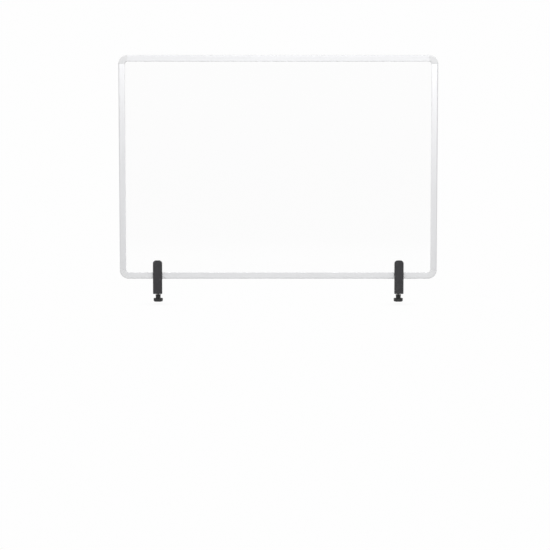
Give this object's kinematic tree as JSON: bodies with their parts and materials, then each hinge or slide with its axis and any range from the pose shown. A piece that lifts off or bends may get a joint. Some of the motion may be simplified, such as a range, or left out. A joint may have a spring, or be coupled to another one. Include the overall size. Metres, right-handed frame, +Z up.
{
  "type": "clamp-on desk screen",
  "caption": "Clear desk screen in a slim aluminium frame with rounded grey corners, held on the desk's edge by black screw clamps.",
  "frame": {"origin": "mid-width of the frame, in the mid-plane of the clear sheet, at the height of the desk top that the clamps sit on", "axes": "+X along the screen to the visitor's right, +Y from the visitor towards the person at the desk, +Z up"},
  "size_m": [1.07, 0.0435, 0.8284],
  "materials": {
    "clear_acrylic": "gloss",
    "aluminium_rail": "satin",
    "corner_plastic": "matte",
    "gasket_vinyl": "satin",
    "zinc_steel": "satin",
    "black_steel": "satin",
    "clamp_plastic": "matte",
    "knob_plastic": "matte",
    "black_rubber": "matte",
    "brass_insert": "satin"
  },
  "bodies": {
    "frame": {"acrylic_sheet": "clear_acrylic", "top_rail": "aluminium_rail", "bottom_rail": "aluminium_rail", "left_rail": "aluminium_rail", "right_rail": "aluminium_rail", "top_left_corner": "corner_plastic", "top_right_corner": "corner_plastic", "bottom_left_corner": "corner_plastic", "bottom_right_corner": "corner_plastic", "top_gasket": "gasket_vinyl", "bottom_gasket": "gasket_vinyl", "left_gasket": "gasket_vinyl", "right_gasket": "gasket_vinyl", "corner_screws": "zinc_steel"},
    "left_clamp": {"left_clamp_body": "clamp_plastic", "left_desk_pad": "black_rubber", "left_front_pad": "black_rubber", "left_threaded_insert": "brass_insert"},
    "left_foot_carrier": {"left_foot": "zinc_steel", "left_foot_pad": "black_rubber"},
    "left_clamp_screw": {"left_spindle": "zinc_steel", "left_knob": "knob_plastic", "left_foot_clip": "zinc_steel"},
    "left_grip": {"left_grip_plate": "zinc_steel", "left_grip_pad": "black_rubber"},
    "left_grip_screw_body": {"left_grip_screw": "black_steel"},
    "right_clamp": {"right_clamp_body": "clamp_plastic", "right_desk_pad": "black_rubber", "right_front_pad": "black_rubber", "right_threaded_insert": "brass_insert"},
    "right_foot_carrier": {"right_foot": "zinc_steel", "right_foot_pad": "black_rubber"},
    "right_clamp_screw": {"right_spindle": "zinc_steel", "right_knob": "knob_plastic", "right_foot_clip": "zinc_steel"},
    "right_grip": {"right_grip_plate": "zinc_steel", "right_grip_pad": "black_rubber"},
    "right_grip_screw_body": {"right_grip_screw": "black_steel"}
  },
  "joints": [
    {"name": "left_clamp_slide", "type": "slide", "parent": "frame", "child": "left_clamp", "axis": [1, 0, 0], "range_m": [-0.07, 0.3]},
    {"name": "left_foot_lift", "type": "slide", "parent": "left_clamp", "child": "left_foot_carrier", "axis": [0, 0, 1], "range_m": [-0.0075, 0.003]},
    {"name": "left_clamp_screw_turn", "type": "hinge", "parent": "left_foot_carrier", "child": "left_clamp_screw", "pos_m": [-0.407, 0.011, -0.0285], "axis": [0, 0, 1], "range_deg": [-2162, 866]},
    {"name": "left_grip_press", "type": "slide", "parent": "left_clamp", "child": "left_grip", "axis": [0, -1, 0], "range_m": [-0.002, 0]},
    {"name": "left_grip_screw_turn", "type": "hinge", "parent": "left_grip", "child": "left_grip_screw_body", "pos_m": [-0.407, 0.011, 0.0145], "axis": [0, -1, 0], "range_deg": [-722, 0]},
    {"name": "right_clamp_slide", "type": "slide", "parent": "frame", "child": "right_clamp", "axis": [1, 0, 0], "range_m": [-0.3, 0.07]},
    {"name": "right_foot_lift", "type": "slide", "parent": "right_clamp", "child": "right_foot_carrier", "axis": [0, 0, 1], "range_m": [-0.0075, 0.003]},
    {"name": "right_clamp_screw_turn", "type": "hinge", "parent": "right_foot_carrier", "child": "right_clamp_screw", "pos_m": [0.407, 0.011, -0.0285], "axis": [0, 0, 1], "range_deg": [-2162, 866]},
    {"name": "right_grip_press", "type": "slide", "parent": "right_clamp", "child": "right_grip", "axis": [0, -1, 0], "range_m": [-0.002, 0]},
    {"name": "right_grip_screw_turn", "type": "hinge", "parent": "right_grip", "child": "right_grip_screw_body", "pos_m": [0.407, 0.011, 0.0145], "axis": [0, -1, 0], "range_deg": [-722, 0]}
  ],
  "couplings": [
    {"joint": "left_clamp_screw_turn", "follows": "left_foot_lift", "rad_per_m": 5026.5},
    {"joint": "left_grip_screw_turn", "follows": "left_grip_press", "rad_per_m": 6283.2},
    {"joint": "right_clamp_screw_turn", "follows": "right_foot_lift", "rad_per_m": 5026.5},
    {"joint": "right_grip_screw_turn", "follows": "right_grip_press", "rad_per_m": 6283.2}
  ]
}
